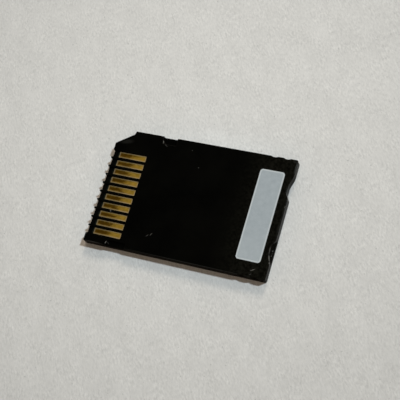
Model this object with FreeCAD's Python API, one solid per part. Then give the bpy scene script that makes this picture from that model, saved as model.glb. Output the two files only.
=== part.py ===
import FreeCAD, Part
import math
import os
from FreeCAD import Vector

# Memory card of the short stick type, modelled in millimetres and lying contact side up.
# +X runs from the contact edge to the rear edge, +Y from the plain side to the keyed side and
# +Z from the label face up to the contact face. The origin is the centre of the label face.

# Case
card_length = 31.0
card_width = 20.0
card_thickness = 1.6
case_wall = 0.95
label_floor = 0.30
edge_round = 0.15
front_corner_round = 0.20
rear_corner_round = 0.30
seam_break = 0.05

# Key cut across the corner at the contact edge, with the short step where it meets the side
key_length = 3.0
key_width = 2.6
key_step_run = 0.15
key_step_rise = 0.60
key_corner_round = 0.12

# Row of contacts in the slots of the contact cover
contact_count = 10
contact_pitch = 1.5
contact_row_centre = 8.75
contact_recess = 0.25
slot_width = 1.15
slot_length = 6.20
slot_flare = 0.10
slot_flare_length = 0.35
pad_thickness = 0.05
pad_side_gap = 0.02
pad_front_gap = 0.27
pad_rear_gap = 0.05
pad_corner_round = 0.08

# Sloped bar that joins the ribs just behind their tips and guides the springs of a socket in
bar_setback = 0.17
bar_front_height = 0.45
bar_lead_in = 0.22
bar_margin = 0.50
bar_fit = 0.05

# Latch notches in the two long sides, of which only the keyed one goes right through the contact cover
plain_notch_start = 4.0
plain_notch_end = 7.3
plain_notch_depth = 0.90
plain_notch_drop = 0.40
keyed_notch_start = 8.0
keyed_notch_end = 10.46
keyed_notch_depth = 1.30
notch_mouth = 0.30
notch_heel_round = 0.12
notch_wall = 0.35

# Wave-shaped notches in the rear edge, one each side of the middle and measured from there
rear_notch_inner = 3.4
rear_notch_outer = 7.25
rear_notch_depth = 0.50
rear_notch_rise = 0.90
rear_notch_rise_round = 0.90
rear_notch_ramp = 1.6
rear_notch_ramp_round = 2.5
rear_notch_floor = 0.50

# Shallow finger grooves in the long sides near the rear edge, measured from that edge
groove_count = 2
groove_pitch = 2.1
groove_row_margin = 2.85
groove_width = 1.2
groove_floor_width = 0.40
groove_depth = 0.15
groove_round = 0.30

# Write-on panel in a shallow bed, measured from the rear edge
panel_length = 15.25
panel_width = 4.22
panel_rear_margin = 1.39
panel_corner_round = 0.45
panel_thickness = 0.06
panel_bed_depth = 0.08
panel_gap = 0.03

# Shallow label bed in the outer face of the label cover
label_bed_depth = 0.05
label_bed_margin = 1.3
label_bed_front_margin = 5.2
label_bed_corner_round = 0.6

# Weld ridge on the rim of the label cover and the groove that takes it
ridge_inset = 0.36
ridge_width = 0.22
ridge_height = 0.12
ridge_clearance = 0.04
ridge_start_margin = 0.60

# Circuit board and the seat under its rim
board_thickness = 0.40
board_clearance = 0.05
board_corner_round = 0.30
board_seat = 0.50
rail_count = 3
rail_width = 0.60
rail_spacing = 4.5

# Packages and small parts under the board
package_corner_round = 0.15
package_edge_break = 0.05
flash_length = 9.0
flash_width = 11.0
flash_rear_margin = 2.0
flash_air_gap = 0.06
controller_length = 5.0
controller_width = 5.0
controller_setback = 1.4
controller_air_gap = 0.08
capacitor_length = 1.0
capacitor_width = 0.55
capacitor_setback = 0.9
capacitor_air_gap = 0.10
resistor_count = 4
resistor_length = 1.0
resistor_width = 0.50
resistor_setback = 0.9
resistor_air_gap = 0.15
end_cap_length = 0.22
end_cap_proud = 0.03

# Helper length that carries a cutting tool clear of the face it enters
overshoot = 1.0
flatness = 1e-4


def spread(middle, count, spacing):
    """Places of a row of equal parts about its middle."""
    return [middle + spacing * (step - (count - 1) / 2) for step in range(count)]


# Places worked out from the sizes above
front = -card_length / 2
rear = card_length / 2
plain_side = -card_width / 2
keyed_side = card_width / 2
pad_top = card_thickness - contact_recess
board_top = pad_top - pad_thickness
board_bottom = board_top - board_thickness
seam = board_bottom
bar_front_top = pad_top - bar_lead_in
bar_bottom = bar_front_top - bar_front_height
plain_notch_floor = card_thickness - plain_notch_drop
board_front = front + case_wall + board_clearance
contact_row = plain_side + contact_row_centre
contact_places = spread(contact_row, contact_count, contact_pitch)
row_start = contact_places[0] - slot_width / 2
row_end = contact_places[-1] + slot_width / 2
slot_end = front + slot_length
bar_start = row_start - bar_margin
bar_end = row_end + bar_margin


# Outlines: each is a list of corners (x, y, radius) that runs anticlockwise

def rectangle(x_low, x_high, y_low, y_high, radius=0.0):
    """Corners of a rectangle with one corner radius."""
    places = ((x_low, y_low), (x_high, y_low), (x_high, y_high), (x_low, y_high))
    return [(x, y, radius) for x, y in places]


def centred(x, y, length, width, radius=0.0):
    """Corners of a rectangle about its centre."""
    return rectangle(x - length / 2, x + length / 2, y - width / 2, y + width / 2, radius)


def grown(corners, distance):
    """The same outline with every side moved outward, or inward for a negative distance."""
    result = []
    for index, (x, y, radius) in enumerate(corners):
        x_last, y_last, _ = corners[index - 1]
        x_next, y_next, _ = corners[(index + 1) % len(corners)]
        normal_in = Vector(y - y_last, x_last - x, 0).normalize()
        normal_out = Vector(y_next - y, x - x_next, 0).normalize()
        shift = (normal_in + normal_out) * (distance / (1 + normal_in.dot(normal_out)))
        turn = math.copysign(distance, normal_in.cross(normal_out).z)
        result.append((x + shift.x, y + shift.y, max(radius + turn, 0.0)))
    return result


def rounded_wire(corners, height):
    """Closed wire at one height, with each corner turned by an arc as large as its sides allow."""
    points = [Vector(x, y, height) for x, y, _ in corners]
    stretches = []
    for index, point in enumerate(points):
        to_last = points[index - 1] - point
        to_next = points[(index + 1) % len(points)] - point
        room = min(to_last.Length, to_next.Length) / 2
        to_last.normalize()
        to_next.normalize()
        half_angle = to_last.getAngle(to_next) / 2
        reach = min(corners[index][2] / math.tan(half_angle), room)
        radius = reach * math.tan(half_angle)
        inward = (to_last + to_next).normalize()
        middle = point + inward * (radius / math.sin(half_angle) - radius)
        stretches.append((point + to_last * reach, middle, point + to_next * reach))
    edges = []
    for index, (start, middle, end) in enumerate(stretches):
        if (end - start).Length > flatness:
            edges.append(Part.Arc(start, middle, end).toShape())
        next_start = stretches[(index + 1) % len(stretches)][0]
        if (next_start - end).Length > flatness:
            edges.append(Part.LineSegment(end, next_start).toShape())
    return Part.Wire(edges)


def prism(corners, low, high):
    """Upright solid on an outline between two heights."""
    return Part.Face(rounded_wire(corners, low)).extrude(Vector(0, 0, high - low))


def ring(outer, inner, low, high):
    """Upright wall between two outlines."""
    return prism(outer, low, high).cut(prism(inner, low, high))


def edges_at(solid, height):
    """Edges of a solid that lie at one height."""
    return [
        edge for edge in solid.Edges
        if abs(edge.BoundBox.ZMin - height) < flatness and abs(edge.BoundBox.ZMax - height) < flatness
    ]


def card_outline():
    """Outer outline of the card, with the key cut and its step."""
    return [
        (front, plain_side, front_corner_round),
        (rear, plain_side, rear_corner_round),
        (rear, keyed_side, rear_corner_round),
        (front + key_length, keyed_side, key_corner_round),
        (front + key_length - key_step_run, keyed_side - key_step_rise, key_corner_round),
        (front, keyed_side - key_width, key_corner_round),
    ]


def core_outline():
    """The card's outline with the key cut carried straight on to the side, for what lies within."""
    slope = (key_width - key_step_rise) / (key_length - key_step_run)
    return [
        (front, plain_side, 0.0),
        (rear, plain_side, 0.0),
        (rear, keyed_side, 0.0),
        (front + key_width / slope, keyed_side, 0.0),
        (front, keyed_side - key_width, 0.0),
    ]


def inner_outline(inset):
    """An outline that follows the card's edge at a distance inside it."""
    return [(x, y, board_corner_round) for x, y, _ in grown(core_outline(), -inset)]


def side_notch(start, end, depth, side):
    """Latch notch in one long side: round at its front end, with a square stop at its heel."""
    edge = side * card_width / 2
    mouth = edge + side * overshoot
    floor = edge - side * depth
    corners = [
        (front + start, mouth, 0.0),
        (front + start, floor, depth - notch_mouth),
        (front + end, floor, notch_heel_round),
        (front + end, mouth, 0.0),
    ]
    return corners if side > 0 else corners[::-1]


def rear_notch(side):
    """Notch in the rear edge: a steep rise at its inner end and a long ramp at its outer end."""
    mouth = rear + overshoot
    floor = rear - rear_notch_depth
    inner_lead = rear_notch_inner - rear_notch_rise
    outer_lead = rear_notch_outer + rear_notch_ramp
    corners = [
        (mouth, side * outer_lead, 0.0),
        (rear, side * outer_lead, 0.0),
        (rear, side * rear_notch_outer, rear_notch_ramp_round),
        (floor, side * (rear_notch_outer - rear_notch_ramp), rear_notch_ramp_round),
        (floor, side * (rear_notch_inner + rear_notch_rise), rear_notch_rise_round),
        (rear, side * rear_notch_inner, rear_notch_rise_round),
        (rear, side * inner_lead, 0.0),
        (mouth, side * inner_lead, 0.0),
    ]
    return corners if side > 0 else corners[::-1]


def finger_groove(x, side):
    """Shallow groove in one long side, with a ramp at each end."""
    edge = side * card_width / 2
    mouth = edge + side * overshoot
    floor = edge - side * groove_depth
    corners = [
        (x - groove_width / 2, mouth, 0.0),
        (x - groove_width / 2, edge, 0.0),
        (x - groove_floor_width / 2, floor, groove_round),
        (x + groove_floor_width / 2, floor, groove_round),
        (x + groove_width / 2, edge, 0.0),
        (x + groove_width / 2, mouth, 0.0),
    ]
    return corners if side > 0 else corners[::-1]


def contact_slot(place):
    """Slot over one contact, open at the contact edge and flared there."""
    half = slot_width / 2
    half_mouth = half + slot_flare
    neck = front + slot_flare_length
    return [
        (front - overshoot, place - half_mouth, 0.0),
        (front, place - half_mouth, 0.0),
        (neck, place - half, 0.0),
        (slot_end, place - half, 0.0),
        (slot_end, place + half, 0.0),
        (neck, place + half, 0.0),
        (front, place + half_mouth, 0.0),
        (front - overshoot, place + half_mouth, 0.0),
    ]


def panel_outline():
    """Outline of the bed of the write-on panel."""
    bed_rear = rear - panel_rear_margin
    return centred(bed_rear - panel_width / 2, 0.0, panel_width, panel_length, panel_corner_round)


plain_notch = side_notch(plain_notch_start, plain_notch_end, plain_notch_depth, -1)
keyed_notch = side_notch(keyed_notch_start, keyed_notch_end, keyed_notch_depth, 1)
rear_notches = [rear_notch(-1), rear_notch(1)]
finger_grooves = [
    finger_groove(x, side)
    for x in spread(rear - groove_row_margin, groove_count, groove_pitch)
    for side in (-1, 1)
]


# Shapes that more than one piece takes its form from

def within_case(inset, low, high, notch_gap):
    """Solid that follows the card's edge at a distance and keeps a gap to every notch."""
    solid = prism(inner_outline(inset), low, high)
    for notch in [plain_notch, keyed_notch] + rear_notches:
        solid = solid.cut(prism(grown(notch, notch_gap), low, high))
    return solid


def weld_run(clearance, height):
    """Run of the weld along both sides and round the rear edge, clear of the notches."""
    top = seam + height
    run = ring(
        inner_outline(ridge_inset - clearance),
        inner_outline(ridge_inset + ridge_width + clearance),
        seam,
        top,
    )
    start = front + keyed_notch_end + ridge_start_margin - clearance
    run = run.cut(prism(rectangle(front, start, plain_side, keyed_side), seam, top))
    for notch in rear_notches:
        run = run.cut(prism(grown(notch, notch_wall - clearance), seam, top))
    return run


# Case

def contact_bar():
    """Bar across the row of contacts, sloped up from behind the rib tips to the board."""
    bar_front = front + bar_setback
    profile = Part.makePolygon([
        Vector(bar_front, bar_start, bar_bottom),
        Vector(front + case_wall, bar_start, bar_bottom),
        Vector(front + case_wall, bar_start, pad_top),
        Vector(bar_front, bar_start, bar_front_top),
        Vector(bar_front, bar_start, bar_bottom),
    ])
    return Part.Face(profile).extrude(Vector(0, bar_end - bar_start, 0))


def contact_cover():
    """Upper cover with the comb over the contacts, the notches and the bed of the panel."""
    cover = prism(card_outline(), seam, card_thickness)
    cover = cover.cut(prism(plain_notch, plain_notch_floor, card_thickness + overshoot))
    for notch in [keyed_notch] + rear_notches + finger_grooves:
        cover = cover.cut(prism(notch, seam - overshoot, card_thickness + overshoot))
    cover = cover.makeFillet(edge_round, edges_at(cover, card_thickness))
    cover = cover.cut(within_case(case_wall, seam, board_top, notch_wall))
    cover = cover.fuse(prism(rectangle(front, front + case_wall, bar_start, bar_end), bar_bottom, seam))
    for place in contact_places:
        cover = cover.cut(prism(contact_slot(place), bar_bottom, card_thickness + overshoot))
    cover = cover.fuse(contact_bar())
    panel_bed = card_thickness - panel_bed_depth
    cover = cover.cut(prism(panel_outline(), panel_bed, card_thickness + overshoot))
    cover = cover.cut(weld_run(ridge_clearance, ridge_height + ridge_clearance))
    return cover.removeSplitter()


def label_cover():
    """Lower cover: a tray with a seat for the board, rails under the contacts and a weld ridge."""
    cover = prism(card_outline(), 0.0, seam)
    cover = cover.makeFillet(edge_round, edges_at(cover, 0.0))
    cover = cover.makeChamfer(seam_break, edges_at(cover, seam))
    hollow = within_case(case_wall + board_seat, label_floor, seam, notch_wall + board_seat)
    for place in spread(contact_row, rail_count, rail_spacing):
        rail = rectangle(front, slot_end, place - rail_width / 2, place + rail_width / 2)
        hollow = hollow.cut(prism(rail, label_floor, seam))
    cover = cover.cut(hollow)
    bar_seat = rectangle(
        front - overshoot,
        front + case_wall,
        bar_start - bar_fit,
        bar_end + bar_fit,
    )
    cover = cover.cut(prism(bar_seat, bar_bottom, seam + overshoot))
    for notch, low in zip(rear_notches, (rear_notch_floor, -overshoot)):
        cover = cover.cut(prism(notch, low, seam + overshoot))
    bed = rectangle(
        front + label_bed_front_margin,
        rear - label_bed_margin,
        plain_side + label_bed_margin,
        keyed_side - label_bed_margin,
        label_bed_corner_round,
    )
    cover = cover.cut(prism(bed, -overshoot, label_bed_depth))
    cover = cover.fuse(weld_run(0.0, ridge_height))
    return cover.removeSplitter()


def write_on_panel():
    """Thin panel that lies in its bed just below the contact face."""
    bottom = card_thickness - panel_bed_depth
    return prism(grown(panel_outline(), -panel_gap), bottom, bottom + panel_thickness)


# Board and what it carries

def circuit_board():
    """Board that drops into its seat and is cut back round the notches."""
    return within_case(
        case_wall + board_clearance,
        board_bottom,
        board_top,
        notch_wall + board_clearance,
    )


def contact_pad(place):
    """One contact on the board, seen through its slot."""
    half = slot_width / 2 - pad_side_gap
    pad = rectangle(
        board_front + pad_front_gap,
        slot_end - pad_rear_gap,
        place - half,
        place + half,
        pad_corner_round,
    )
    return prism(pad, board_top, pad_top)


def package(x, y, length, width, air_gap):
    """Moulded package under the board, with its lower edges broken."""
    low = label_floor + air_gap
    solid = prism(centred(x, y, length, width, package_corner_round), low, board_bottom)
    return solid.makeChamfer(package_edge_break, edges_at(solid, low))


def small_part(x, y, length, width, air_gap):
    """Ceramic chip part across the card, with a metal cap at each end that stands a little proud."""
    low = label_floor + air_gap
    body = centred(x, y, width - 2 * end_cap_proud, length - 2 * end_cap_length)
    solid = prism(body, low + end_cap_proud, board_bottom)
    for side in (-1, 1):
        cap_place = y + side * (length - end_cap_length) / 2
        solid = solid.fuse(prism(centred(x, cap_place, width, end_cap_length), low, board_bottom))
    return solid.removeSplitter()


def board_parts():
    """Every part that hangs under the board, by name."""
    resistor_x = slot_end + resistor_setback
    skipped = (contact_count - resistor_count) // 2
    middle_contacts = contact_places[skipped:skipped + resistor_count]
    controller_x = resistor_x + controller_setback + controller_length / 2
    flash_x = rear - flash_rear_margin - flash_length / 2
    parts = {
        "flash_memory": package(flash_x, 0.0, flash_length, flash_width, flash_air_gap),
        "controller": package(
            controller_x,
            contact_row,
            controller_length,
            controller_width,
            controller_air_gap,
        ),
    }
    beside_controller = controller_width / 2 + capacitor_setback + capacitor_length / 2
    ahead_of_flash = flash_x - flash_length / 2 - capacitor_setback
    capacitor_places = [
        (x, y + side * beside_controller)
        for x, y in ((controller_x, contact_row), (ahead_of_flash, 0.0))
        for side in (-1, 1)
    ]
    for number, (x, y) in enumerate(capacitor_places, start=1):
        part = small_part(x, y, capacitor_length, capacitor_width, capacitor_air_gap)
        parts[f"capacitor_{number}"] = part
    for number, y in enumerate(middle_contacts, start=1):
        part = small_part(resistor_x, y, resistor_length, resistor_width, resistor_air_gap)
        parts[f"resistor_{number}"] = part
    return parts


def memory_card():
    """Every piece of the card by name."""
    pieces = {
        "contact_cover": contact_cover(),
        "label_cover": label_cover(),
        "write_on_panel": write_on_panel(),
        "circuit_board": circuit_board(),
    }
    for number, place in enumerate(reversed(contact_places), start=1):
        pieces[f"contact_pad_{number:02d}"] = contact_pad(place)
    pieces.update(board_parts())
    return pieces


os.makedirs("parts", exist_ok=True)
for name, piece in memory_card().items():
    piece.exportStep(f"parts/{name}.step")
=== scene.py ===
import math

import bpy
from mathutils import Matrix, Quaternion, Vector


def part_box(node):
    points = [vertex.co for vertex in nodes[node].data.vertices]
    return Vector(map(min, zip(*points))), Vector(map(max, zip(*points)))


# Memory card on pale paper. The row frame is in metres, with its origin at the centre of the label
# face. Sizes in the materials are in millimetres, and colours are linear.

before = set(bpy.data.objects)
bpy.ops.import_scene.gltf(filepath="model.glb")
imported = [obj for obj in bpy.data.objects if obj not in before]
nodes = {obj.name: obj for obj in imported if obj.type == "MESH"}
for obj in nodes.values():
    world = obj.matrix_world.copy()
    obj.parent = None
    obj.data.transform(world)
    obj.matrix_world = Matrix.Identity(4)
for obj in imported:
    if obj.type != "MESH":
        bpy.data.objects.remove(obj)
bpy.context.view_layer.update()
scene = bpy.context.scene
scene.view_settings.view_transform = "Standard"

MM = 0.001
X, Y, Z = range(3)

# Camera, fitted to the edges of the card
CAMERA_PLACE = (0.052603, -0.041556, 0.140001)
CAMERA_AIM = (0.0011715, 0.0009416, 0.0)
CAMERA_ROLL = -36.183
CAMERA_LENS = 87.178
CAMERA_CLIP_START = 0.005
SENSOR_WIDTH = 36.0

# Lamps (direction, strength, angle, colour): a crisp cool one from beyond the rear corner and a softer
# warm one from beyond the keyed side
LAMPS = {
    "key": ((1.04, 0.75, 1.60), 2.25, 6.0, (0.79, 0.925, 1.0)),
    "side": ((0.0, 2.32, 1.60), 0.99, 15.0, (1.0, 0.89, 0.75)),
}

# Room that is pale up to a little above eye level and dim overhead
ROOM_TINT = (1.0, 0.83, 0.66)
ROOM_PALE = 1.4
ROOM_PALE_UP_TO = 0.15
ROOM_DIM = 0.06
ROOM_DIM_FROM = 0.60

FLOOR_HALF = 3.0

# Span that holds most of a noise, its middle, and the pair of levels that fades a value out
NOISE_SPAN = (0.3, 0.7)
NOISE_MIDDLE = 0.5
FADE = (1.0, 0.0)


# Node helpers

class Shader:
    """A node tree with short calls for the nodes that the materials here are made of."""

    def __init__(self, tree):
        self.tree = tree
        self.tree.nodes.clear()

    def node(self, kind, inputs=None, **settings):
        """A new node, with settings on the node and values or links on its inputs."""
        made = self.tree.nodes.new(kind)
        for key, value in settings.items():
            setattr(made, key, value)
        for key, value in (inputs or {}).items():
            self.feed(made.inputs[key], value)
        return made

    def feed(self, socket, value):
        """Links an output to an input, or writes a plain value on it."""
        if isinstance(value, bpy.types.NodeSocket):
            self.tree.links.new(value, socket)
        else:
            socket.default_value = value

    def math(self, operation, first, second=0.0, third=0.0):
        """One step of arithmetic on up to three values."""
        inputs = {0: first, 1: second, 2: third}
        return self.node("ShaderNodeMath", inputs, operation=operation).outputs[0]

    def place(self):
        """The point on the surface, in millimetres in the row frame."""
        coordinates = self.node("ShaderNodeTexCoord").outputs["Object"]
        inputs = {"Vector": coordinates, "Scale": (1 / MM,) * 3}
        return self.node("ShaderNodeMapping", inputs).outputs[0]

    def axis(self, vector, index):
        """One coordinate of a vector."""
        return self.node("ShaderNodeSeparateXYZ", {0: vector}).outputs[index]

    def length(self, vector):
        """Length of a vector."""
        return self.node("ShaderNodeVectorMath", {0: vector}, operation="LENGTH").outputs["Value"]

    def apart(self, value, middle):
        """Distance of a value from a middle, on either side."""
        return self.math("ABSOLUTE", self.math("SUBTRACT", value, middle))

    def noise(self, place, size, detail=2.0, roughness=0.5):
        """Noise whose lumps are about one size, in millimetres."""
        inputs = {"Vector": place, "Scale": 1 / size, "Detail": detail, "Roughness": roughness}
        return self.node("ShaderNodeTexNoise", inputs).outputs[0]

    def swing(self, noise, share, about=0.0):
        """Noise taken from its middle, scaled and laid about another value."""
        return self.math("MULTIPLY_ADD", self.math("SUBTRACT", noise, NOISE_MIDDLE), share, about)

    def stretched(self, place, sizes, turn=0.0):
        """The place as seen in a frame turned about the card's normal and stretched along its axes."""
        inputs = {"Vector": place, "Rotation": (0, 0, math.radians(turn)), "Scale": sizes}
        return self.node("ShaderNodeMapping", inputs, vector_type="TEXTURE").outputs[0]

    def ranged(self, value, span, to=(0.0, 1.0)):
        """A value carried smoothly from one span to another and held at its ends."""
        inputs = {0: value, 1: span[0], 2: span[1], 3: to[0], 4: to[1]}
        return self.node("ShaderNodeMapRange", inputs, interpolation_type="SMOOTHSTEP").outputs[0]

    def ramp(self, value, stops):
        """Colour along a row of stops (place, colour)."""
        made = self.node("ShaderNodeValToRGB", {0: value})
        elements = made.color_ramp.elements
        for element, (place, colour) in zip(elements, stops, strict=True):
            element.position = place
            element.color = (*colour, 1.0)
        return made.outputs[0]

    def mixed(self, share, first, second):
        """One colour laid over another by a share."""
        colours = {"A": first, "B": second}
        made = self.node("ShaderNodeMix", {0: share}, data_type="RGBA")
        for socket in made.inputs:
            if socket.type == "RGBA" and socket.name in colours:
                self.feed(socket, colours[socket.name])
        return made.outputs[2]

    def scaled(self, colour, level):
        """A colour made lighter or darker by a level."""
        inputs = {0: colour, "Scale": level}
        return self.node("ShaderNodeVectorMath", inputs, operation="SCALE").outputs[0]

    def marks(self, place, marks):
        """Share of the surface under a list of marks (x, y, z, length, width, depth, turn, strength)."""
        total = None
        for x, y, z, length, width, depth, turn, strength in marks:
            inputs = {
                "Vector": place,
                "Location": (x, y, z),
                "Rotation": (0, 0, math.radians(turn)),
                "Scale": (length / 2, width / 2, depth / 2),
            }
            local = self.node("ShaderNodeMapping", inputs, vector_type="TEXTURE").outputs[0]
            share = self.ranged(self.length(local), MARK_FADE_SPAN, (strength, 0.0))
            total = share if total is None else self.math("MAXIMUM", total, share)
        return total

    def bump(self, height, distance, strength):
        """Normal from a height, with its distance in millimetres."""
        inputs = {"Height": height, "Distance": distance * MM, "Strength": strength}
        return self.node("ShaderNodeBump", inputs).outputs[0]

    def surface(self, **values):
        """The surface shader and the output, with values or links on the shader's inputs."""
        shader = self.node("ShaderNodeBsdfPrincipled")
        for key, value in values.items():
            self.feed(shader.inputs[key.replace("_", " ")], value)
        output = self.node("ShaderNodeOutputMaterial")
        self.tree.links.new(shader.outputs[0], output.inputs[0])


def new_material(name):
    """An empty material and its node tree."""
    material = bpy.data.materials.new(name)
    material.use_nodes = True
    return material, Shader(material.node_tree)


def grey(level):
    """A neutral colour."""
    return (level, level, level)


# Case

CARD_TOP = 1.6
REAR_NOTCH_FLOOR = 0.5
PLAIN_NOTCH_FLOOR = 1.2

# Part of a mark's own half size over which it fades
MARK_FADE_SPAN = (0.25, 1.0)

# Worn marks on the case, and painted highlights on the edges that catch the lamps (the fronts of both
# side notches, the ramp of the rear notch on the plain side and the top edge of the plain side): x, y,
# z, length, width, depth, turn, strength
CASE_WEAR_AND_HIGHLIGHTS = [
    (-12.45, -4.26, CARD_TOP, 0.75, 0.23, 0.8, 109, 0.6),
    (13.26, -8.76, CARD_TOP, 0.95, 0.13, 0.4, 35, 0.9),
    (13.00, -8.90, CARD_TOP, 0.45, 0.10, 0.4, 20, 0.6),
    (-5.03, -7.04, CARD_TOP, 0.75, 0.14, 0.4, 45, 0.35),
    (-4.44, -6.71, CARD_TOP, 0.75, 0.14, 0.4, 62, 0.45),
    (13.05, -9.50, CARD_TOP, 0.50, 0.12, 0.4, 40, 0.3),
    # Painted highlight on the front of the keyed notch
    (-7.32, 9.10, CARD_TOP, 1.15, 0.24, 0.4, 100, 0.6),
    (-7.37, 9.44, CARD_TOP, 0.60, 0.20, 0.4, 81, 0.35),
    (-6.66, 8.45, CARD_TOP, 0.95, 0.20, 0.4, 150, 0.20),
    # Painted highlight along the top edge of the plain side
    (3.50, -9.95, CARD_TOP, 36.0, 0.22, 0.16, 0, 0.13),
    (-13.80, -9.98, CARD_TOP, 4.6, 0.28, 0.3, 0, 0.20),
    # Painted highlight on the front of the plain notch
    (-11.48, -9.54, CARD_TOP, 0.62, 0.26, 0.4, 71, 0.75),
    (-11.23, -9.50, PLAIN_NOTCH_FLOOR, 0.75, 0.15, 0.2, 130, 0.25),
    (-0.10, 5.70, CARD_TOP, 0.22, 0.16, 0.4, 0, 0.5),
    (-2.00, 8.40, CARD_TOP, 0.18, 0.14, 0.4, 0, 0.4),
    (-13.60, 7.90, CARD_TOP, 3.2, 1.1, 0.6, 12, 0.04),
    (15.30, -1.50, CARD_TOP, 4.6, 0.5, 0.5, 90, 0.02),
    # Painted highlight along the ramp and floor edge of the rear notch on the plain side
    (15.42, -7.20, CARD_TOP, 0.40, 0.22, 0.5, 108, 0.6),
    (15.20, -6.45, CARD_TOP, 1.30, 0.24, 0.5, 110, 0.6),
    (14.95, -5.20, CARD_TOP, 1.50, 0.20, 0.5, 96, 0.25),
    (15.42, 2.05, CARD_TOP, 0.70, 0.20, 0.5, 80, 0.25),
    (15.40, 8.50, CARD_TOP, 2.60, 0.30, 0.5, 88, 0.05),
    (15.05, 9.60, CARD_TOP, 0.90, 0.26, 0.4, 5, 0.10),
    (15.16, -5.75, REAR_NOTCH_FLOOR, 0.40, 0.20, 0.3, 80, 0.35),
    (15.18, -5.40, REAR_NOTCH_FLOOR, 0.26, 0.18, 0.3, 100, 0.30),
    (15.17, -4.95, REAR_NOTCH_FLOOR, 0.44, 0.24, 0.3, 85, 0.6),
]
# Colour of the worn marks and of the painted highlights
WEAR_AND_HIGHLIGHT_COLOUR = (0.22, 0.21, 0.19, 1.0)
MARK_GRAIN_SPAN = (0.3, 0.6)
MARK_GRAIN_LEVELS = (0.5, 1.0)
MARK_ROUGHER = 0.25

# Plastic as moulded, and greyer and mottled towards the rear
CASE_BLACK = [(0.30, (0.0010, 0.0010, 0.0008)), (0.75, (0.0026, 0.0025, 0.0019))]
CASE_REAR_GREY = [(0.36, (0.0020, 0.0019, 0.0012)), (0.64, (0.0080, 0.0076, 0.0056))]
CASE_REAR_GREY_SPAN = (5.5, 12.5)
CASE_ROUGHNESS = (0.13, 0.19)

# Fine streaks across the face, a little rougher than the rest
STREAK_SIZES = (3.0, 0.15, 1.0)
STREAK_TURN = 38
STREAK_SPAN = (0.45, 0.75)
STREAK_ROUGHER = (0.0, 0.07)

# Sideways part of the normal that tells the plain side, and the reflection there and elsewhere: turning
# the reflection down on the plain side is painted shade that darkens its wall
PLAIN_SIDE_SPAN = (-0.9, -0.5)
CASE_REFLECTION = (0.003, 0.025)


def case_plastic():
    """Black satin plastic with a fine grain, scuffed, with painted highlights on edges, greyer at the
    rear, and with painted shade on the plain side from a weaker reflection there.
    """
    material, make = new_material("case_plastic")
    place = make.place()
    haze = make.noise(place, size=6.0, detail=3.0, roughness=0.6)
    grain = make.noise(place, size=0.12, roughness=0.6)
    streaky = make.stretched(place, STREAK_SIZES, STREAK_TURN)
    streak = make.noise(streaky, size=1.0, detail=3.0, roughness=0.6)
    scuff = make.noise(place, size=0.35, roughness=0.6)
    rear_grey = make.ranged(make.axis(place, X), CASE_REAR_GREY_SPAN)
    base = make.mixed(rear_grey, make.ramp(haze, CASE_BLACK), make.ramp(scuff, CASE_REAR_GREY))
    grainy = make.ranged(grain, MARK_GRAIN_SPAN, MARK_GRAIN_LEVELS)
    # Worn marks, and painted highlights on edges
    wear_and_highlight = make.math("MULTIPLY", make.marks(place, CASE_WEAR_AND_HIGHLIGHTS), grainy)
    hazy = make.ranged(haze, NOISE_SPAN, CASE_ROUGHNESS)
    roughness = make.math("ADD", hazy, make.ranged(streak, STREAK_SPAN, STREAK_ROUGHER))
    # Reflection turned down on faces towards the plain side, as painted shade on that wall
    facing = make.node("ShaderNodeTexCoord").outputs["Normal"]
    make.surface(
        Base_Color=make.mixed(wear_and_highlight, base, WEAR_AND_HIGHLIGHT_COLOUR),
        Roughness=make.math("MULTIPLY_ADD", wear_and_highlight, MARK_ROUGHER, roughness),
        Specular_IOR_Level=make.ranged(make.axis(facing, Y), PLAIN_SIDE_SPAN, CASE_REFLECTION),
        Normal=make.bump(grain, distance=0.006, strength=0.35),
    )
    return material


# Write-on panel

FILM_GREY = [(0.30, (0.322, 0.360, 0.387)), (0.70, (0.380, 0.418, 0.445))]
FILM_FIBRE_SIZES = (0.10, 0.9, 1.0)
FILM_ROUGHNESS = (0.52, 0.66)

# Paler towards the plain side, with a painted highlight along the rim, and a painted shade along the
# border where the film meets its bed
FILM_PALER = (0.435, 0.468, 0.482, 1.0)
FILM_PALER_SHARE = 0.25
FILM_RIM_HIGHLIGHT = (0.500, 0.535, 0.550, 1.0)
FILM_RIM_HIGHLIGHT_SPAN = (0.18, 0.36)
FILM_BORDER_SHADE = (0.010, 0.010, 0.008, 1.0)
FILM_BORDER_SHADE_SPAN = (0.03, 0.08)
FILM_CORNER = 0.55


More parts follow.
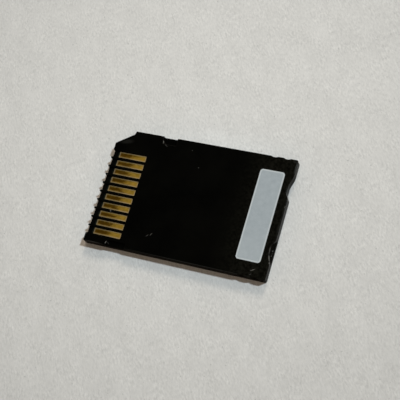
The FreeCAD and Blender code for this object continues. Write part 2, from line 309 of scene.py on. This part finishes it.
def panel_film():
    """Pale grey matt film that takes a pen, faintly mottled, with a painted highlight along its rim and
    painted shade along its border.
    """
    material, make = new_material("panel_film")
    place = make.place()
    low, high = (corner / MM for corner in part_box("write_on_panel"))
    middle = (low + high) / 2
    half = (high - low) / 2
    mottle = make.noise(place, size=0.9, detail=3.0, roughness=0.8)
    fibre = make.noise(make.stretched(place, FILM_FIBRE_SIZES), size=1.0)
    beyond = {}
    for axis in (X, Y):
        off_middle = make.apart(make.axis(place, axis), middle[axis])
        past_corner = make.math("SUBTRACT", off_middle, half[axis] - FILM_CORNER)
        beyond[axis] = make.math("MAXIMUM", past_corner, 0.0)
    reach = make.length(make.node("ShaderNodeCombineXYZ", beyond).outputs[0])
    inset = make.math("SUBTRACT", FILM_CORNER, reach)
    paler = make.ranged(make.axis(place, Y), (low.y, middle.y), (FILM_PALER_SHARE, 0.0))
    base = make.mixed(paler, make.ramp(mottle, FILM_GREY), FILM_PALER)
    # Painted highlight along the rim, and painted shade along the border where the film meets its bed
    base = make.mixed(make.ranged(inset, FILM_RIM_HIGHLIGHT_SPAN, FADE), base, FILM_RIM_HIGHLIGHT)
    base = make.mixed(make.ranged(inset, FILM_BORDER_SHADE_SPAN, FADE), base, FILM_BORDER_SHADE)
    make.surface(
        Base_Color=base,
        Roughness=make.ranged(fibre, NOISE_SPAN, FILM_ROUGHNESS),
        Specular_IOR_Level=0.3,
        Normal=make.bump(make.math("ADD", fibre, mottle), distance=0.008, strength=0.3),
    )
    return material


# Contacts

GOLD_PLATING = [(0.30, (0.412, 0.254, 0.031)), (0.70, (0.500, 0.310, 0.050))]
GOLD_WIPED = [(0.30, (0.162, 0.074, 0.0030)), (0.70, (0.240, 0.122, 0.0080))]
# Pale rim of unworn plating, partly a painted highlight on the contacts' rounded edges
GOLD_RIM_AND_HIGHLIGHT = (0.570, 0.430, 0.225, 1.0)
GOLD_RIM_AND_HIGHLIGHT_SPAN = (0.13, 0.27)
GOLD_ROUGHNESS = (0.54, 0.62)

# Track wiped by the socket's springs, in shares of a contact's half width and of its length
WIPE_SIZES = (2.5, 0.05, 1.0)
TRACK_SIDE = (0.25, 0.70)
TRACK_END = (0.42, 0.70)
TRACK_RAGGED = 4.0
TRACK_SMOOTHER = 0.08
BLOTCH_DRIFT = 0.5
RIM_DRIFT = 0.3

# Darker towards the contact end, paler towards the keyed side as painted light where the slot wall
# shades the contacts, and dark along the edge there
FRONT_DARKER = -0.32
KEYED_SIDE_LIGHT_SHARE = 0.6
KEYED_SIDE_LIGHT_LEVELS = (1.0, 1.2)
KEYED_EDGE_INSETS = (0.08, 0.03)
KEYED_EDGE_LEVELS = (1.0, 0.1)


def contact_gold():
    """Gold plating with a pale rim, partly a painted highlight on the rounded edges, wiped darker along
    the track of the socket's springs, and lifted by painted light where the slot wall shades it.
    """
    material, make = new_material("contact_gold")
    place = make.place()
    low, high = (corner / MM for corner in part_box("contact_pad_01"))
    other, _ = (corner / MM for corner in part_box("contact_pad_02"))
    pitch = abs(other.y - low.y)
    half = (high.y - low.y) / 2
    length = high.x - low.x

    across = make.math("SUBTRACT", make.axis(place, Y), (low.y + high.y) / 2)
    across = make.math("WRAP", across, pitch / 2, -pitch / 2)
    off_middle = make.math("ABSOLUTE", across)
    along = make.math("SUBTRACT", make.axis(place, X), low.x)

    blotch = make.noise(place, size=0.5, detail=4.0, roughness=0.6)
    wipes = make.noise(make.stretched(place, WIPE_SIZES), size=1.0)
    drift = make.swing(blotch, BLOTCH_DRIFT)
    ragged = make.swing(wipes, TRACK_RAGGED, drift)
    side_span = [half * share for share in TRACK_SIDE]
    end_span = [length * share for share in TRACK_END]
    inside = make.ranged(make.math("ADD", off_middle, drift), side_span, FADE)
    before = make.ranged(make.math("ADD", along, ragged), end_span, FADE)
    track = make.math("MULTIPLY", inside, before)
    colour = make.mixed(track, make.ramp(blotch, GOLD_PLATING), make.ramp(wipes, GOLD_WIPED))

    to_side = make.math("SUBTRACT", half, off_middle)
    to_end = make.math("MINIMUM", along, make.math("SUBTRACT", length, along))
    to_edge = make.math("MULTIPLY_ADD", drift, RIM_DRIFT, make.math("MINIMUM", to_side, to_end))
    colour = make.mixed(make.ranged(to_edge, GOLD_RIM_AND_HIGHLIGHT_SPAN, FADE), colour, GOLD_RIM_AND_HIGHLIGHT)

    # Painted light on the keyed side of each contact, where the slot wall shades it
    keyed_side_light = make.ranged(across, (0.0, half * KEYED_SIDE_LIGHT_SHARE), KEYED_SIDE_LIGHT_LEVELS)
    edge_span = [half - inset for inset in KEYED_EDGE_INSETS]
    keyed_edge = make.ranged(across, edge_span, KEYED_EDGE_LEVELS)
    shade = make.math("MULTIPLY_ADD", before, FRONT_DARKER, 1.0)
    shade = make.math("MULTIPLY", shade, keyed_side_light)
    shade = make.math("MULTIPLY", shade, keyed_edge)
    blotched = make.ranged(blotch, NOISE_SPAN, GOLD_ROUGHNESS)
    make.surface(
        Base_Color=make.scaled(colour, shade),
        Metallic=1.0,
        Roughness=make.math("MULTIPLY_ADD", track, -TRACK_SMOOTHER, blotched),
        Normal=make.bump(wipes, distance=0.004, strength=0.3),
    )
    return material


# Board and the parts on it

MASK_BLACK = [(0.3, (0.003, 0.004, 0.003)), (0.8, (0.006, 0.009, 0.006))]
WEAVE_SHARE = 0.3
RESIN_BLACK = [(0.3, (0.013, 0.013, 0.014)), (0.7, (0.024, 0.024, 0.026))]
CAPACITOR_BODY = [(0.3, (0.30, 0.20, 0.12)), (0.7, (0.46, 0.33, 0.22))]
RESISTOR_BODY = [(0.3, (0.02, 0.02, 0.022)), (0.7, (0.05, 0.05, 0.055))]
TIN = [(0.3, grey(0.45)), (0.7, grey(0.62))]

# Tinned ends, in distance from the middle as a share of a part's own length
CAP_SHARE = 0.22
CAP_FROM_MIDDLE = (0.5 - CAP_SHARE - 0.01, 0.5 - CAP_SHARE)


def board_laminate():
    """Black solder mask over a woven board."""
    material, make = new_material("board_laminate")
    place = make.place()
    wave = {"Vector": place, "Scale": 1.1, "Distortion": 0.6, "Detail": 1.0}
    warp, weft = (make.node("ShaderNodeTexWave", wave, bands_direction=run).outputs[1] for run in "XY")
    weave = make.math("MULTIPLY", warp, weft)
    cloud = make.noise(place, size=2.5, detail=3.0)
    make.surface(
        Base_Color=make.ramp(make.math("MULTIPLY_ADD", weave, WEAVE_SHARE, cloud), MASK_BLACK),
        Roughness=make.ranged(cloud, NOISE_SPAN, (0.45, 0.6)),
        Specular_IOR_Level=0.1,
        Normal=make.bump(weave, distance=0.01, strength=0.4),
    )
    return material


def package_resin():
    """Black moulded resin with a coarse matt grain."""
    material, make = new_material("package_resin")
    place = make.place()
    grain = make.noise(place, size=0.18, detail=3.0, roughness=0.6)
    cloud = make.noise(place, size=2.0)
    make.surface(
        Base_Color=make.ramp(cloud, RESIN_BLACK),
        Roughness=make.ranged(grain, NOISE_SPAN, (0.55, 0.7)),
        Normal=make.bump(grain, distance=0.012, strength=0.5),
    )
    return material


def chip_ceramic(name, body):
    """Fired ceramic body with tinned ends."""
    material, make = new_material(name)
    own = make.node("ShaderNodeTexCoord").outputs["Generated"]
    cap = make.ranged(make.apart(make.axis(own, Y), 0.5), CAP_FROM_MIDDLE)
    speck = make.noise(make.place(), size=0.08, detail=3.0, roughness=0.6)
    make.surface(
        Base_Color=make.mixed(cap, make.ramp(speck, body), make.ramp(speck, TIN)),
        Metallic=cap,
        Roughness=make.ranged(speck, NOISE_SPAN, (0.35, 0.5)),
        Normal=make.bump(speck, distance=0.006, strength=0.4),
    )
    return material


# Finish of each node

case = case_plastic()
gold = contact_gold()
resin = package_resin()
capacitor = chip_ceramic("capacitor_ceramic", CAPACITOR_BODY)
resistor = chip_ceramic("resistor_ceramic", RESISTOR_BODY)
finishes = {
    "contact_cover": case,
    "label_cover": case,
    "write_on_panel": panel_film(),
    "circuit_board": board_laminate(),
    "flash_memory": resin,
    "controller": resin,
}
for name, node in nodes.items():
    if name.startswith("contact_pad"):
        finish = gold
    elif name.startswith("capacitor"):
        finish = capacitor
    elif name.startswith("resistor"):
        finish = resistor
    else:
        finish = finishes[name]
    node.data.materials.clear()
    node.data.materials.append(finish)


# Table

PAPER_TONES = [(0.2, (0.518, 0.505, 0.490)), (0.8, (0.890, 0.868, 0.843))]
PAPER_TURN = 32
TOOTH_SIZES = (0.28, 0.70, 1.0)
CLOUD_SIZES = (0.75, 1.5, 1.0)
CLOUD_SHARE = 0.25

# Span of a coarse noise over which the tooth comes and goes, and its shares
PATCH_SPAN = (0.35, 0.65)
PATCH_SHARES = (0.45, 0.95)
SPECK_SPAN = (0.70, 0.80)
SPECK_LEVELS = (0.0, 0.3)

# Painted pool of light on the paper: palest beyond the keyed side and greying with the square of the
# distance, down to a level
PAINTED_LIGHT_SPOT = (0.0, 19.0, 0.0)
PAINTED_LIGHT_FALLOFF = 5.5e-5
PAINTED_LIGHT_FAR_LEVEL = 0.72

# Painted light on the paper round the card and along its keyed side, where the card shades it, laid out
# like the marks on the case
PAINTED_LIGHT_ROUND_CARD = [
    (0.0, 0.0, 0.0, 61.0, 46.0, 10.0, 0, 0.07),
    (1.0, 10.5, 0.0, 32.0, 9.0, 10.0, 0, 0.12),
]


def paper():
    """Pale paper with faint clouds, a fine tooth that comes and goes, a few dark specks, and a painted
    pool of light with painted light round the card.
    """
    material, make = new_material("table_paper")
    place = make.place()
    toothed = make.stretched(place, TOOTH_SIZES, PAPER_TURN)
    clouded = make.stretched(place, CLOUD_SIZES, PAPER_TURN)
    tooth = make.noise(toothed, size=1.0, detail=3.0, roughness=0.7)
    cloud = make.noise(clouded, size=4.5, roughness=0.9)
    patch = make.ranged(make.noise(place, size=2.5, roughness=0.6), PATCH_SPAN, PATCH_SHARES)
    speck = make.ranged(make.noise(place, size=0.45, detail=1.0), SPECK_SPAN, SPECK_LEVELS)
    tone = make.swing(tooth, patch, NOISE_MIDDLE)
    tone = make.swing(cloud, CLOUD_SHARE, tone)
    tone = make.math("SUBTRACT", tone, speck)
    # Painted pool of light on the paper
    inputs = {0: place, 1: PAINTED_LIGHT_SPOT}
    from_painted_light_spot = make.node("ShaderNodeVectorMath", inputs, operation="SUBTRACT").outputs[0]
    reach = make.length(from_painted_light_spot)
    level = make.math("MULTIPLY_ADD", make.math("MULTIPLY", reach, reach), -PAINTED_LIGHT_FALLOFF, 1.0)
    level = make.math("MAXIMUM", level, PAINTED_LIGHT_FAR_LEVEL)
    # Painted light round the card
    level = make.math("ADD", level, make.marks(place, PAINTED_LIGHT_ROUND_CARD))
    make.surface(
        Base_Color=make.scaled(make.ramp(tone, PAPER_TONES), level),
        Roughness=0.9,
        Specular_IOR_Level=0.1,
        Normal=make.bump(tooth, distance=0.01, strength=0.3),
    )
    return material


mesh = bpy.data.meshes.new("table")
signs = [(-1, -1), (1, -1), (1, 1), (-1, 1)]
mesh.from_pydata([(x * FLOOR_HALF, y * FLOOR_HALF, 0.0) for x, y in signs], [], [(0, 1, 2, 3)])
mesh.materials.append(paper())
table = bpy.data.objects.new("table", mesh)
scene.collection.objects.link(table)


# Light

for name, (toward, strength, angle, colour) in LAMPS.items():
    lamp_data = bpy.data.lights.new(name, "SUN")
    lamp_data.energy = strength
    lamp_data.angle = math.radians(angle)
    lamp_data.color = colour
    lamp = bpy.data.objects.new(name, lamp_data)
    lamp.rotation_mode = "QUATERNION"
    lamp.rotation_quaternion = Vector(toward).to_track_quat("Z", "Y")
    scene.collection.objects.link(lamp)

world = bpy.data.worlds.new("room")
world.use_nodes = True
scene.world = world
make = Shader(world.node_tree)
height = make.axis(make.node("ShaderNodeTexCoord").outputs["Generated"], Z)
pale = [ROOM_PALE * level for level in ROOM_TINT]
dim = [ROOM_DIM * level for level in ROOM_TINT]
sky = make.ramp(height, [(ROOM_PALE_UP_TO, pale), (ROOM_DIM_FROM, dim)])
background = make.node("ShaderNodeBackground", {"Color": sky, "Strength": 1.0})
output = make.node("ShaderNodeOutputWorld")
make.tree.links.new(background.outputs[0], output.inputs[0])


# Camera

camera_data = bpy.data.cameras.new("camera")
camera_data.lens = CAMERA_LENS
camera_data.sensor_width = SENSOR_WIDTH
camera_data.clip_start = CAMERA_CLIP_START
camera = bpy.data.objects.new("camera", camera_data)
scene.collection.objects.link(camera)
camera.location = CAMERA_PLACE
camera.rotation_mode = "QUATERNION"
facing = (Vector(CAMERA_AIM) - Vector(CAMERA_PLACE)).to_track_quat("-Z", "Y")
camera.rotation_quaternion = facing @ Quaternion((0, 0, 1), math.radians(CAMERA_ROLL))
scene.camera = camera
